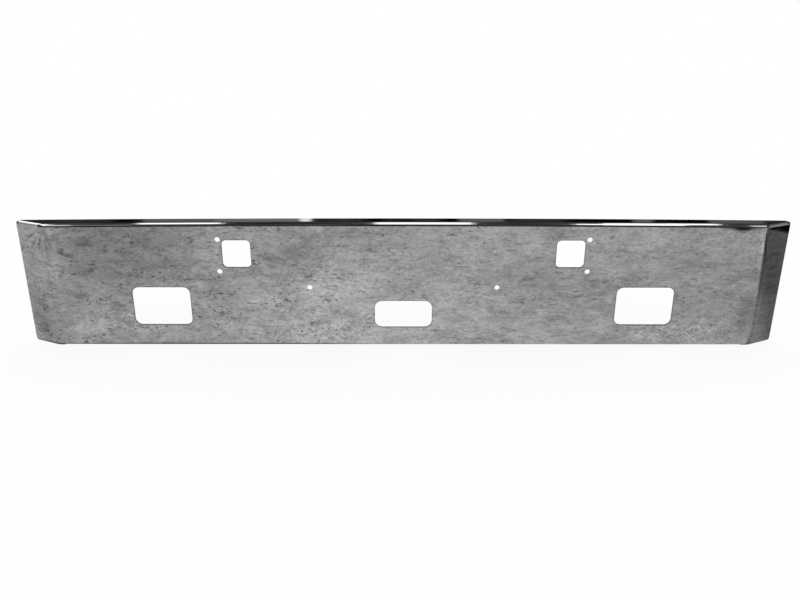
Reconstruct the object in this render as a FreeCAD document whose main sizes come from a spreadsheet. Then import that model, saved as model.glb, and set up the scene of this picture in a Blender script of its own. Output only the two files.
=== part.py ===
import FreeCAD, Part
import math
import os
import Sketcher

# Truck front bumper: one pressed and chromed steel sheet, in millimetres.
# +X is the vehicle's width, -Y is forward (the face), +Z is up.
# The origin is under the middle of the bumper: mid width, mid depth, bottom edge.

os.makedirs("parts", exist_ok=True)

doc = FreeCAD.newDocument("truck_front_bumper")
sizes = doc.addObject("Spreadsheet::Sheet", "sizes")

# Overall form of the sheet
drivingSizes = [
    ("half_width", 1200.0, "centre to the outer end of a wing"),
    ("face_height", 404.0, "bottom edge to the top of the roll, at the wing ends"),
    ("top_crown", 6.0, "extra height at mid width"),
    ("sheet_gauge", 3.4, "steel thickness"),
    ("wing_width", 88.0, "across the vehicle, from the face's corner to the wing's end"),
    ("wing_angle", 25.5, "sweep of the wing from the face, degrees"),
    ("corner_radius", 45.0, "outside radius of the bend between face and wing"),
    ("roll_radius", 13.0, "outside radius of the rolled top"),
    ("wing_corner", 9.0, "corner radius at the bottom of a wing's end"),
    # Lower return behind the face
    ("return_depth", 25.0, "front of the face to the back of the lower return"),
    ("return_radius", 5.0, "outside radius of the lower bend"),
    ("return_setback", 24.0, "from the face's corner in to the end of the lower return"),
    ("return_corner", 10.0, "corner radius at the ends of the lower return"),
    ("relief_gap", 2.0, "width of the bend relief slit"),
    ("relief_height", 9.0, "top of the bend relief slit"),
    # Fog lamp openings
    ("lamp_offset", 763.0, "centre to the middle of a lamp opening"),
    ("lamp_level", 134.5, "height of the lamp opening's middle"),
    ("lamp_width", 181.0, "lamp opening width"),
    ("lamp_height", 127.0, "lamp opening height"),
    ("lamp_corner", 21.0, "lamp opening corner radius"),
    # Tow hook openings
    ("tow_offset", 516.5, "centre to the middle of a tow opening"),
    ("tow_drop", 95.0, "top of the bumper's ends down to the tow opening's middle"),
    ("tow_size", 87.5, "side of the square tow opening"),
    ("tow_corner", 13.5, "tow opening corner radius"),
    # Middle step opening
    ("step_level", 107.5, "height of the step opening's middle"),
    ("step_width", 181.0, "step opening width"),
    ("step_height", 89.5, "step opening height"),
    ("step_corner", 23.0, "step opening corner radius"),
    # Bolt holes
    ("hole_diameter", 16.0, "every bolt hole"),
    ("tow_bolt_offset", 573.0, "centre to the holes beside a tow opening"),
    ("tow_bolt_drop", 101.5, "top of the bumper's ends down to midway between those two"),
    ("tow_bolt_pitch", 104.0, "distance between those two holes"),
    ("middle_bolt_offset", 294.0, "centre to a middle hole"),
    ("middle_bolt_level", 197.5, "height of the middle holes"),
]

value = {}
for row, (name, number, meaning) in enumerate(drivingSizes, start=1):
    sizes.set("A%d" % row, meaning)
    sizes.set("B%d" % row, str(number))
    sizes.setAlias("B%d" % row, name)
    value[name] = number

# Sizes that follow from the ones above
derivedSizes = [
    ("corner_offset", "half_width - wing_width",
     "centre to where the face and wing planes meet"),
    ("return_half_length", "corner_offset - return_setback",
     "centre to the end of the lower return"),
    ("tow_level", "face_height - tow_drop",
     "height of the tow opening's middle"),
    ("tow_bolt_level", "face_height - tow_bolt_drop",
     "height midway between the holes beside a tow opening"),
    ("wing_drop", "wing_width * tan(wing_angle * 1deg)",
     "how far the wing end sits behind the face"),
    ("overall_depth", "wing_drop + sheet_gauge * cos(wing_angle * 1deg)",
     "face to the back plane"),
    ("wing_run", "wing_width / cos(wing_angle * 1deg)",
     "length of a wing along the sheet"),
    ("crown_radius", "(half_width * half_width + top_crown * top_crown) / (2 * top_crown)",
     "radius of the crowned top"),
    ("inner_corner_offset", "corner_offset - sheet_gauge * tan(wing_angle * 0.5deg)",
     "where the inner face and wing planes meet"),
]
firstDerivedRow = len(drivingSizes) + 1
for row, (name, formula, meaning) in enumerate(derivedSizes, start=firstDerivedRow):
    sizes.set("A%d" % row, meaning)
    sizes.set("B%d" % row, "=" + formula)
    sizes.setAlias("B%d" % row, name)
doc.recompute()
for name, formula, meaning in derivedSizes:
    value[name] = float(sizes.get(name))

# Overruns that carry a cutting shape clear of the sheet
cutOver = 60.0

# How close an edge has to be to a plane to lie in it
near = 0.01


def originPlane(body, role):
    for feature in body.Origin.OriginFeatures:
        if feature.Role == role:
            return feature
    raise RuntimeError("no plane " + role)


def newSketch(body, role, name):
    sketch = body.newObject("Sketcher::SketchObject", name)
    sketch.AttachmentSupport = [(originPlane(body, role), "")]
    sketch.MapMode = "FlatFace"
    return sketch


def drawLoop(sketch, points):
    # Closed polygon; the corner shared by edge i-1 and edge i is the start of edge i
    count = len(points)
    for i in range(count):
        a = FreeCAD.Vector(points[i][0], points[i][1], 0)
        b = FreeCAD.Vector(points[(i + 1) % count][0], points[(i + 1) % count][1], 0)
        sketch.addGeometry(Part.LineSegment(a, b), False)
    for i in range(count):
        sketch.addConstraint(Sketcher.Constraint("Coincident", i, 2, (i + 1) % count, 1))


def drive(sketch, kind, where, number, name, expression):
    index = sketch.addConstraint(Sketcher.Constraint(kind, *where, number))
    sketch.renameConstraint(index, name)
    sketch.setExpression("Constraints." + name, expression)


def insetText(inset):
    # The inside surfaces sit one sheet thickness in from the outside ones
    return " - sizes.sheet_gauge" if inset else ""


def mirrorPoints(sketch, edgeA, edgeB):
    # Starts of two edges stay mirrored about the sketch's vertical axis
    sketch.addConstraint(Sketcher.Constraint("Symmetric", edgeA, 1, edgeB, 1, -2))


def planOutline(body, name, inset, cornerExpression, cornerNumber, extraRun, backOver):
    # Seen from above: face, two swept wings, ends square to the wings, open back
    angle = math.radians(value["wing_angle"])
    frontY = inset - value["overall_depth"] / 2
    run = value["wing_run"] + extraRun
    endX = cornerNumber + run * math.cos(angle)
    endY = frontY + run * math.sin(angle)
    backY = value["overall_depth"] / 2 + backOver
    backX = endX - (backY - endY) * math.tan(angle)
    sketch = newSketch(body, "XY_Plane", name)
    drawLoop(sketch, [
        (-cornerNumber, frontY),
        (cornerNumber, frontY),
        (endX, endY),
        (backX, backY),
        (-backX, backY),
        (-endX, endY),
    ])
    mirrorPoints(sketch, 0, 1)
    mirrorPoints(sketch, 5, 2)
    mirrorPoints(sketch, 4, 3)
    drive(sketch, "DistanceX", (-1, 1, 1, 1), cornerNumber, "corner", cornerExpression)
    drive(sketch, "DistanceY", (1, 1, -1, 1), -frontY, "front",
          "sizes.overall_depth / 2" + insetText(inset))
    drive(sketch, "Angle", (0, 2, 1, 1), math.pi + angle, "sweep", "180 + sizes.wing_angle")
    drive(sketch, "Distance", (1, 1, 1, 2), run, "run", "sizes.wing_run + %g" % extraRun)
    sketch.addConstraint(Sketcher.Constraint("Perpendicular", 1, 2))
    drive(sketch, "DistanceY", (-1, 1, 3, 1), backY, "back",
          "sizes.overall_depth / 2 + %g" % backOver)
    return sketch


def crownOutline(body, name, inset):
    # Seen from the front: what lies above the gently crowned top
    reach = value["half_width"] + cutOver + cutOver
    radius = value["crown_radius"] - inset
    middleZ = value["face_height"] + value["top_crown"] - value["crown_radius"]
    skyZ = value["face_height"] + cutOver
    sideZ = middleZ + math.sqrt(radius * radius - reach * reach)
    spread = math.asin(reach / radius)
    sketch = newSketch(body, "XZ_Plane", name)
    circle = Part.Circle(FreeCAD.Vector(0, middleZ, 0), FreeCAD.Vector(0, 0, 1), radius)
    sketch.addGeometry(Part.ArcOfCircle(circle, math.pi / 2 - spread, math.pi / 2 + spread), False)
    leftLow = FreeCAD.Vector(-reach, sideZ, 0)
    leftHigh = FreeCAD.Vector(-reach, skyZ, 0)
    rightHigh = FreeCAD.Vector(reach, skyZ, 0)
    rightLow = FreeCAD.Vector(reach, sideZ, 0)
    sketch.addGeometry(Part.LineSegment(leftLow, leftHigh), False)
    sketch.addGeometry(Part.LineSegment(leftHigh, rightHigh), False)
    sketch.addGeometry(Part.LineSegment(rightHigh, rightLow), False)
    sketch.addConstraint(Sketcher.Constraint("Coincident", 0, 2, 1, 1))
    sketch.addConstraint(Sketcher.Constraint("Coincident", 1, 2, 2, 1))
    sketch.addConstraint(Sketcher.Constraint("Coincident", 2, 2, 3, 1))
    sketch.addConstraint(Sketcher.Constraint("Coincident", 3, 2, 0, 1))
    sketch.addConstraint(Sketcher.Constraint("PointOnObject", 0, 3, -2))
    sketch.addConstraint(Sketcher.Constraint("Vertical", 1))
    sketch.addConstraint(Sketcher.Constraint("Horizontal", 2))
    sketch.addConstraint(Sketcher.Constraint("Vertical", 3))
    drive(sketch, "Radius", (0,), radius, "crown", "sizes.crown_radius" + insetText(inset))
    drive(sketch, "DistanceY", (0, 3, -1, 1), -middleZ, "centre",
          "sizes.crown_radius - sizes.face_height - sizes.top_crown")
    drive(sketch, "DistanceX", (1, 1, -1, 1), reach, "left", "sizes.half_width + %g" % (2 * cutOver))
    drive(sketch, "DistanceX", (-1, 1, 3, 2), reach, "right", "sizes.half_width + %g" % (2 * cutOver))
    drive(sketch, "DistanceY", (-1, 1, 2, 1), skyZ, "sky", "sizes.face_height + %g" % cutOver)
    return sketch


def pickEdges(shape, wanted):
    names = []
    for number, edge in enumerate(shape.Edges, start=1):
        if wanted(edge):
            names.append("Edge%d" % number)
    if not names:
        raise RuntimeError("no edge found")
    return names


def roundEdges(body, name, feature, wanted, expression):
    # Rounds the wanted edges of the body's last feature
    fillet = body.newObject("PartDesign::Fillet", name)
    fillet.Base = (feature, pickEdges(feature.Shape, wanted))
    fillet.setExpression("Radius", expression)
    doc.recompute()
    body.Tip = fillet
    return fillet


def formBlock(bodyName, inset, cornerExpression, cornerNumber, extraRun, backOver):
    # Solid block whose front, wing, bend, crown and roll surfaces are those of the sheet
    body = doc.addObject("PartDesign::Body", bodyName)
    outline = planOutline(body, bodyName + "_plan", inset, cornerExpression, cornerNumber,
                          extraRun, backOver)
    block = body.newObject("PartDesign::Pad", bodyName + "_block")
    block.Profile = outline
    block.setExpression("Length", "sizes.face_height + sizes.top_crown + %g" % (cutOver / 2))
    doc.recompute()
    above = crownOutline(body, bodyName + "_above", inset)
    crown = body.newObject("PartDesign::Pocket", bodyName + "_crown")
    crown.Profile = above
    crown.Type = 1
    crown.Midplane = True
    doc.recompute()
    frontY = inset - value["overall_depth"] / 2

    def isCorner(edge):
        box = edge.BoundBox
        tall = box.ZLength > value["face_height"] / 2
        return tall and box.XLength < near and abs(box.YMin - frontY) < near

    bend = roundEdges(body, bodyName + "_bend", crown, isCorner,
                      "sizes.corner_radius" + insetText(inset))

    def isTopFront(edge):
        box = edge.BoundBox
        onTop = box.ZMin > value["face_height"] - 3 * value["sheet_gauge"]
        middle = edge.valueAt((edge.FirstParameter + edge.LastParameter) / 2)
        angle = math.radians(value["wing_angle"])
        inFace = middle.y - frontY < near
        wingY = frontY + (abs(middle.x) - cornerNumber) * math.tan(angle)
        inWing = abs(middle.x) > cornerNumber and abs(middle.y - wingY) < near
        alongTop = onTop and box.XLength > near
        return alongTop and (inFace or inWing)

    roundEdges(body, bodyName + "_roll", bend, isTopFront, "sizes.roll_radius" + insetText(inset))
    return body


# The sheet is the outside form less the space behind it
sheetBody = formBlock("bumper_shell", 0.0, "sizes.corner_offset",
                      value["corner_offset"], 0.0, cutOver)
hollow = formBlock("hollow", value["sheet_gauge"], "sizes.inner_corner_offset",
                   value["inner_corner_offset"], cutOver, 1.5 * cutOver)
joined = sheetBody.newObject("PartDesign::Boolean", "sheet_form")
joined.Type = "Cut"
joined.setObjects([hollow])
doc.recompute()
sheetBody.Tip = joined


def cutThrough(name, sketch):
    # Cuts both ways through the whole sheet and makes sure that metal came away
    before = sheetBody.Shape.Volume
    pocket = sheetBody.newObject("PartDesign::Pocket", name)
    pocket.Profile = sketch
    pocket.Type = 1
    pocket.Midplane = True
    sheetBody.Tip = pocket
    doc.recompute()
    if sheetBody.Shape.Volume > before - 1.0:
        raise RuntimeError(name + " cut nothing")
    return pocket


# Straight back edge of the top flange, level with the back corners of the wings
trim = newSketch(sheetBody, "XY_Plane", "back_trim_outline")
trimReach = value["half_width"] + 2 * cutOver
trimFront = value["overall_depth"] / 2
trimBack = trimFront + 3 * cutOver
drawLoop(trim, [
    (-trimReach, trimFront),
    (trimReach, trimFront),
    (trimReach, trimBack),
    (-trimReach, trimBack),
])
mirrorPoints(trim, 0, 1)
mirrorPoints(trim, 3, 2)
trim.addConstraint(Sketcher.Constraint("Vertical", 1))
drive(trim, "DistanceX", (-1, 1, 1, 1), trimReach, "reach", "sizes.half_width + %g" % (2 * cutOver))
drive(trim, "DistanceY", (-1, 1, 1, 1), trimFront, "front", "sizes.overall_depth / 2")
drive(trim, "DistanceY", (-1, 1, 2, 1), trimBack, "back", "sizes.overall_depth / 2 + %g" % (3 * cutOver))
trimmed = cutThrough("back_trim", trim)


def isWingCorner(edge):
    # Short edges through the sheet at the bottom of the wings' ends
    box = edge.BoundBox
    outermost = max(abs(box.XMin), abs(box.XMax)) > value["half_width"] - near
    return outermost and box.ZMax < near and edge.Length < 2 * value["sheet_gauge"]


roundEdges(sheetBody, "wing_corners", trimmed, isWingCorner, "sizes.wing_corner")

# Front outlines are drawn on the plane through the origin and cut both ways
faceFront = -value["overall_depth"] / 2
faceBack = faceFront + value["sheet_gauge"]

# Notch for the lower return: the face stops where the bend begins, slits relieve its ends
notch = newSketch(sheetBody, "XZ_Plane", "return_notch_outline")
slitIn = value["return_half_length"]
slitOut = slitIn + value["relief_gap"]
bendTop = value["return_radius"]
slitTop = value["relief_height"]
below = -cutOver / 2
drawLoop(notch, [
    (-slitOut, below), (slitOut, below), (slitOut, slitTop), (slitIn, slitTop),
    (slitIn, bendTop), (-slitIn, bendTop), (-slitIn, slitTop), (-slitOut, slitTop),
])
for edgeA, edgeB in ((0, 1), (7, 2), (6, 3), (5, 4)):
    mirrorPoints(notch, edgeA, edgeB)
notch.addConstraint(Sketcher.Constraint("Vertical", 1))
notch.addConstraint(Sketcher.Constraint("Horizontal", 2))
notch.addConstraint(Sketcher.Constraint("Vertical", 3))
drive(notch, "DistanceX", (-1, 1, 3, 1), slitIn, "inside", "sizes.return_half_length")
drive(notch, "DistanceX", (-1, 1, 2, 1), slitOut, "outside",
      "sizes.return_half_length + sizes.relief_gap")
drive(notch, "DistanceY", (-1, 1, 4, 1), bendTop, "bend", "sizes.return_radius")
drive(notch, "DistanceY", (-1, 1, 2, 1), slitTop, "slit", "sizes.relief_height")
drive(notch, "DistanceY", (1, 1, -1, 1), -below, "below", "%g" % -below)
cutThrough("return_notch", notch)

# Lower return: the sheet turned back under the face, seen from the side
profile = newSketch(sheetBody, "YZ_Plane", "return_profile")
innerBend = value["return_radius"] - value["sheet_gauge"]
bendCentre = FreeCAD.Vector(faceFront + value["return_radius"], value["return_radius"], 0)
returnBack = faceFront + value["return_depth"]
outerArc = Part.Circle(bendCentre, FreeCAD.Vector(0, 0, 1), value["return_radius"])
innerArc = Part.Circle(bendCentre, FreeCAD.Vector(0, 0, 1), innerBend)
corners = [
    FreeCAD.Vector(faceFront, value["return_radius"], 0),
    FreeCAD.Vector(bendCentre.x, 0, 0),
    FreeCAD.Vector(returnBack, 0, 0),
    FreeCAD.Vector(returnBack, value["sheet_gauge"], 0),
    FreeCAD.Vector(bendCentre.x, value["sheet_gauge"], 0),
    FreeCAD.Vector(faceBack, value["return_radius"], 0),
]
profile.addGeometry(Part.ArcOfCircle(outerArc, math.pi, 1.5 * math.pi), False)
profile.addGeometry(Part.LineSegment(corners[1], corners[2]), False)
profile.addGeometry(Part.LineSegment(corners[2], corners[3]), False)
profile.addGeometry(Part.LineSegment(corners[3], corners[4]), False)
profile.addGeometry(Part.ArcOfCircle(innerArc, math.pi, 1.5 * math.pi), False)
profile.addGeometry(Part.LineSegment(corners[5], corners[0]), False)
profile.addConstraint(Sketcher.Constraint("Tangent", 0, 2, 1, 1))
profile.addConstraint(Sketcher.Constraint("Coincident", 1, 2, 2, 1))
profile.addConstraint(Sketcher.Constraint("Coincident", 2, 2, 3, 1))
profile.addConstraint(Sketcher.Constraint("Tangent", 3, 2, 4, 2))
profile.addConstraint(Sketcher.Constraint("Coincident", 4, 1, 5, 1))
profile.addConstraint(Sketcher.Constraint("Coincident", 5, 2, 0, 1))
profile.addConstraint(Sketcher.Constraint("Coincident", 0, 3, 4, 3))
profile.addConstraint(Sketcher.Constraint("Horizontal", 1))
profile.addConstraint(Sketcher.Constraint("Vertical", 2))
profile.addConstraint(Sketcher.Constraint("Horizontal", 3))
profile.addConstraint(Sketcher.Constraint("Horizontal", 5))
profile.addConstraint(Sketcher.Constraint("Horizontal", 0, 3, 0, 1))
drive(profile, "Radius", (0,), value["return_radius"], "outer", "sizes.return_radius")
drive(profile, "Radius", (4,), innerBend, "inner", "sizes.return_radius - sizes.sheet_gauge")
profile.addConstraint(Sketcher.Constraint("PointOnObject", 1, 1, -1))
drive(profile, "DistanceX", (0, 1, -1, 1), -faceFront, "front", "sizes.overall_depth / 2")
drive(profile, "DistanceX", (0, 1, 1, 2), value["return_depth"], "depth", "sizes.return_depth")
lowerReturn = sheetBody.newObject("PartDesign::Pad", "lower_return")
lowerReturn.Profile = profile
lowerReturn.Midplane = True
lowerReturn.setExpression("Length", "2 * sizes.return_half_length")
doc.recompute()
sheetBody.Tip = lowerReturn
doc.recompute()


def isReturnEnd(edge):
    # Upright edges at the back corners of the lower return
    box = edge.BoundBox
    upright = box.XLength < near and box.YLength < near
    atBack = abs(box.YMin - returnBack) < near
    return upright and atBack and box.ZMax < value["return_radius"]


returnEnds = roundEdges(sheetBody, "return_ends", lowerReturn, isReturnEnd, "sizes.return_corner")


def roundedOpening(name, centreX, centreZ, width, height, corner, across, up, wide, tall, bend):
    # Rounded rectangle on the face: four sides, four corner arcs
    left = centreX - width / 2
    right = centreX + width / 2
    low = centreZ - height / 2
    high = centreZ + height / 2
    sketch = newSketch(sheetBody, "XZ_Plane", name)
    sides = [
        ((left + corner, low), (right - corner, low)),
        ((right, low + corner), (right, high - corner)),
        ((right - corner, high), (left + corner, high)),
        ((left, high - corner), (left, low + corner)),
    ]
    for start, end in sides:
        a = FreeCAD.Vector(start[0], start[1], 0)
        b = FreeCAD.Vector(end[0], end[1], 0)
        sketch.addGeometry(Part.LineSegment(a, b), False)
    centres = [
        (right - corner, low + corner),
        (right - corner, high - corner),
        (left + corner, high - corner),
        (left + corner, low + corner),
    ]
    for i, (x, z) in enumerate(centres):
        circle = Part.Circle(FreeCAD.Vector(x, z, 0), FreeCAD.Vector(0, 0, 1), corner)
        first = -math.pi / 2 + i * math.pi / 2
        sketch.addGeometry(Part.ArcOfCircle(circle, first, first + math.pi / 2), False)
    for i in range(4):
        sketch.addConstraint(Sketcher.Constraint("Tangent", i, 2, 4 + i, 1))
        sketch.addConstraint(Sketcher.Constraint("Tangent", 4 + i, 2, (i + 1) % 4, 1))
    sketch.addConstraint(Sketcher.Constraint("Horizontal", 0))
    sketch.addConstraint(Sketcher.Constraint("Vertical", 1))
    sketch.addConstraint(Sketcher.Constraint("Horizontal", 2))
    sketch.addConstraint(Sketcher.Constraint("Vertical", 3))
    for i in range(5, 8):
        sketch.addConstraint(Sketcher.Constraint("Equal", 4, i))
    drive(sketch, "Radius", (4,), corner, "corner", bend)
    drive(sketch, "DistanceX", (3, 1, 1, 1), width, "width", wide)
    drive(sketch, "DistanceY", (0, 1, 2, 1), height, "height", tall)
    drive(sketch, "DistanceX", (-1, 1, 1, 1), right, "side", across + " + " + wide + " / 2")
    drive(sketch, "DistanceY", (-1, 1, 2, 1), high, "top", up + " + " + tall + " / 2")
    return sketch


def boltHoles(name, places):
    # Round holes of one diameter on the face
    sketch = newSketch(sheetBody, "XZ_Plane", name)
    for i, (x, z, across, up) in enumerate(places):
        centre = FreeCAD.Vector(x, z, 0)
        sketch.addGeometry(Part.Circle(centre, FreeCAD.Vector(0, 0, 1), value["hole_diameter"] / 2), False)
        drive(sketch, "DistanceX", (-1, 1, i, 3), x, "across%d" % i, across)
        drive(sketch, "DistanceY", (-1, 1, i, 3), z, "up%d" % i, up)
        if i == 0:
            drive(sketch, "Diameter", (i,), value["hole_diameter"], "bore", "sizes.hole_diameter")
        else:
            sketch.addConstraint(Sketcher.Constraint("Equal", 0, i))
    return sketch


# Openings of the right half, then their mirror images on the left
lampOutline = roundedOpening(
    "lamp_outline", value["lamp_offset"], value["lamp_level"], value["lamp_width"],
    value["lamp_height"], value["lamp_corner"],
    "sizes.lamp_offset", "sizes.lamp_level", "sizes.lamp_width", "sizes.lamp_height", "sizes.lamp_corner")
lampCut = cutThrough("lamp_opening", lampOutline)
towOutline = roundedOpening(
    "tow_outline", value["tow_offset"], value["tow_level"], value["tow_size"],
    value["tow_size"], value["tow_corner"],
    "sizes.tow_offset", "sizes.tow_level", "sizes.tow_size", "sizes.tow_size", "sizes.tow_corner")
towCut = cutThrough("tow_opening", towOutline)
holes = boltHoles("bolt_outline", [
    (value["tow_bolt_offset"], value["tow_bolt_level"] + value["tow_bolt_pitch"] / 2,
     "sizes.tow_bolt_offset", "sizes.tow_bolt_level + sizes.tow_bolt_pitch / 2"),
    (value["tow_bolt_offset"], value["tow_bolt_level"] - value["tow_bolt_pitch"] / 2,
     "sizes.tow_bolt_offset", "sizes.tow_bolt_level - sizes.tow_bolt_pitch / 2"),
    (value["middle_bolt_offset"], value["middle_bolt_level"],
     "sizes.middle_bolt_offset", "sizes.middle_bolt_level"),
])
holeCut = cutThrough("bolt_holes", holes)

halfVolume = sheetBody.Shape.Volume
otherSide = sheetBody.newObject("PartDesign::Mirrored", "left_openings")
otherSide.Originals = [lampCut, towCut, holeCut]
otherSide.MirrorPlane = (originPlane(sheetBody, "YZ_Plane"), [""])
sheetBody.Tip = otherSide
doc.recompute()
if sheetBody.Shape.Volume > halfVolume - 1.0:
    raise RuntimeError("the left openings cut nothing")

# Middle step opening
stepOutline = roundedOpening(
    "step_outline", 0.0, value["step_level"], value["step_width"],
    value["step_height"], value["step_corner"],
    "0", "sizes.step_level", "sizes.step_width", "sizes.step_height", "sizes.step_corner")
cutThrough("step_opening", stepOutline)

# Every feature has to be sound before the sheet is written out
doc.recompute()
for item in doc.Objects:
    if "Invalid" in item.State or "Error" in item.State:
        raise RuntimeError(item.Name + " is " + ", ".join(item.State))
    if item.TypeId == "Sketcher::SketchObject" and not item.FullyConstrained:
        raise RuntimeError(item.Name + " is not fully constrained")
form = sheetBody.Shape
if form.isNull() or not form.isValid() or len(form.Solids) != 1:
    raise RuntimeError("the sheet is not one sound solid")
form.exportStep("parts/bumper_shell.step")
box = form.optimalBoundingBox(True, False)
print("bumper_shell", round(box.XLength, 2), "x", round(box.YLength, 2), "x", round(box.ZLength, 2), "mm")
print("volume", round(form.Volume), "mm3, steel about", round(form.Volume * 7.85e-6, 1), "kg")
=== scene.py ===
import bpy
import math
from mathutils import Matrix


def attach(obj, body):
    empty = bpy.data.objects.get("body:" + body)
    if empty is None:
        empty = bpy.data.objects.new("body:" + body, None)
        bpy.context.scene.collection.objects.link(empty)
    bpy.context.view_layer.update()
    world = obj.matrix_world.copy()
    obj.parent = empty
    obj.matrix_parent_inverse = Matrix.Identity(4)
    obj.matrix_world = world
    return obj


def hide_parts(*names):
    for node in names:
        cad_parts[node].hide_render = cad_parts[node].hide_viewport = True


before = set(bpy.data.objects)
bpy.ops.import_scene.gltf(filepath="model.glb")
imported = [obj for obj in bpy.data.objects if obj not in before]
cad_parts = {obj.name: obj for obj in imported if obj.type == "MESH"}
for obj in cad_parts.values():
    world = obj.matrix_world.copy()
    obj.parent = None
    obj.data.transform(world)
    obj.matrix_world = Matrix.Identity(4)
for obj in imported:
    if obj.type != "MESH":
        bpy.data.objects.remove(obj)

for leftover in ("Cube", "Light", "Camera"):
    if leftover in bpy.data.objects:
        bpy.data.objects.remove(bpy.data.objects[leftover], do_unlink=True)
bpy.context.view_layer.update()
print("frame loaded")


# small helpers for working in edit mode

def pickNothing():
    if bpy.context.object and bpy.context.object.mode != "OBJECT":
        bpy.ops.object.mode_set(mode="OBJECT")
    bpy.ops.object.select_all(action="DESELECT")


def workOn(piece):
    pickNothing()
    piece.select_set(True)
    bpy.context.view_layer.objects.active = piece


def selectParts(piece, kind, wanted):
    # selects the vertices, edges or faces that "wanted" says yes to, and stays in edit mode
    if bpy.context.object != piece:
        workOn(piece)
    bpy.ops.object.mode_set(mode="EDIT")
    bpy.ops.mesh.select_mode(type={"verts": "VERT", "edges": "EDGE", "faces": "FACE"}[kind])
    bpy.ops.mesh.select_all(action="DESELECT")
    bpy.ops.object.mode_set(mode="OBJECT")
    mesh = piece.data
    if kind == "verts":
        for vert in mesh.vertices:
            vert.select = wanted(vert.co)
    if kind == "edges":
        for edge in mesh.edges:
            first, second = edge.vertices
            edge.select = wanted(mesh.vertices[first].co, mesh.vertices[second].co)
    if kind == "faces":
        for face in mesh.polygons:
            face.select = wanted(face.center, face.normal)
    bpy.ops.object.mode_set(mode="EDIT")


def applyModifier(piece, kind, **settings):
    workOn(piece)
    modifier = piece.modifiers.new(kind.title(), kind)
    for name, setting in settings.items():
        setattr(modifier, name, setting)
    bpy.ops.object.modifier_apply(modifier=modifier.name)


shell = {
    "halfWidth": 1.200,
    "faceHeight": 0.404,
    "topCrown": 0.006,
    "gauge": 0.0034,
    "wingWidth": 0.088,
    "wingAngle": math.radians(25.5),
    "cornerRadius": 0.045,
    "cornerSteps": 14,
    "rollRadius": 0.013,
    "rollSteps": 16,
    "crownSteps": 48,
    "returnDepth": 0.025,
    "returnRadius": 0.005,
    "returnSetback": 0.024,
    "returnCorner": 0.010,
    "wingCorner": 0.009,
    "slitWidth": 0.002,
    "slitTop": 0.009,
    "edgeRound": 0.0005,
    "spare": 0.060,
}
wingDrop = shell["wingWidth"] * math.tan(shell["wingAngle"])
depth = wingDrop + shell["gauge"] * math.cos(shell["wingAngle"])
front = -depth / 2
back = depth / 2
cornerX = shell["halfWidth"] - shell["wingWidth"]


def crownAt(x):
    return shell["topCrown"] * (1 - (x / shell["halfWidth"]) ** 2)


def makeSheet():
    height = shell["faceHeight"]
    spare = shell["spare"]
    backSpare = back + spare
    pickNothing()
    bpy.ops.mesh.primitive_cube_add(
        size=1,
        location=(0, (front + backSpare) / 2, height / 2),
        scale=(2 * cornerX, backSpare - front, height),
    )
    sheet = bpy.context.object
    sheet.name = "bumper_sheet"
    bpy.ops.object.transform_apply(location=True, rotation=True, scale=True)

    # wings: each end face is drawn out sideways, then its front edge swings back
    reach = shell["wingWidth"] + spare
    for side in (-1, 1):
        selectParts(sheet, "faces", lambda c, n: n.x * side > 0.9)
        bpy.ops.mesh.extrude_region_move(TRANSFORM_OT_translate={"value": (side * reach, 0, 0)})
        selectParts(sheet, "verts", lambda co: co.x * side > cornerX + reach / 2 and co.y < 0)
        bpy.ops.transform.translate(value=(0, reach * math.tan(shell["wingAngle"]), 0))

    # only the skin stays: the back, the underside and the two ends go
    selectParts(sheet, "faces", lambda c, n: n.y > 0.9 or n.z < -0.9
                or abs(c.x) > cornerX + reach - 1e-4)
    bpy.ops.mesh.delete(type="FACE")
    selectParts(sheet, "edges", lambda a, b: abs(abs(a.x) - cornerX) < 1e-5 and abs(a.x - b.x) < 1e-5
                and min(a.z, b.z) > height - 1e-5)
    bpy.ops.mesh.dissolve_edges(use_verts=False)

    # corner bends, then the roll that runs round them into the top flange
    selectParts(sheet, "edges", lambda a, b: abs(a.z - b.z) > height / 2
                and max(a.y, b.y) < front + 1e-5)
    bpy.ops.mesh.bevel(
        offset=shell["cornerRadius"] * math.tan(shell["wingAngle"] / 2),
        offset_type="OFFSET",
        segments=shell["cornerSteps"],
        profile=0.5,
        clamp_overlap=False,
    )
    wingLine = lambda co: front + max(0, abs(co.x) - cornerX) * math.tan(shell["wingAngle"])
    outerRim = lambda co: co.z > height - 1e-5 and co.y < wingLine(co) + 0.003
    selectParts(sheet, "edges", lambda a, b: outerRim(a) and outerRim(b) and abs(a.x - b.x) > 1e-6)
    bpy.ops.mesh.bevel(
        offset=shell["rollRadius"],
        offset_type="OFFSET",
        segments=shell["rollSteps"],
        profile=0.5,
        clamp_overlap=False,
    )

    # stations across the width, then each one rises by the crown there
    stations = shell["crownSteps"]
    for i in range(1, stations):
        x = cornerX * (2 * i / stations - 1)
        selectParts(sheet, "verts", lambda co: True)
        bpy.ops.mesh.bisect(plane_co=(x, 0, 0), plane_no=(1, 0, 0))
    bpy.ops.object.mode_set(mode="OBJECT")
    columns = sorted({round(v.co.x, 5) for v in sheet.data.vertices})
    for x in columns:
        rise = crownAt(x)
        selectParts(sheet, "verts", lambda co: abs(co.x - x) < 6e-6 and co.z > height / 2)
        bpy.ops.transform.translate(value=(0, 0, rise))
    bpy.ops.object.mode_set(mode="OBJECT")
    return sheet


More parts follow.
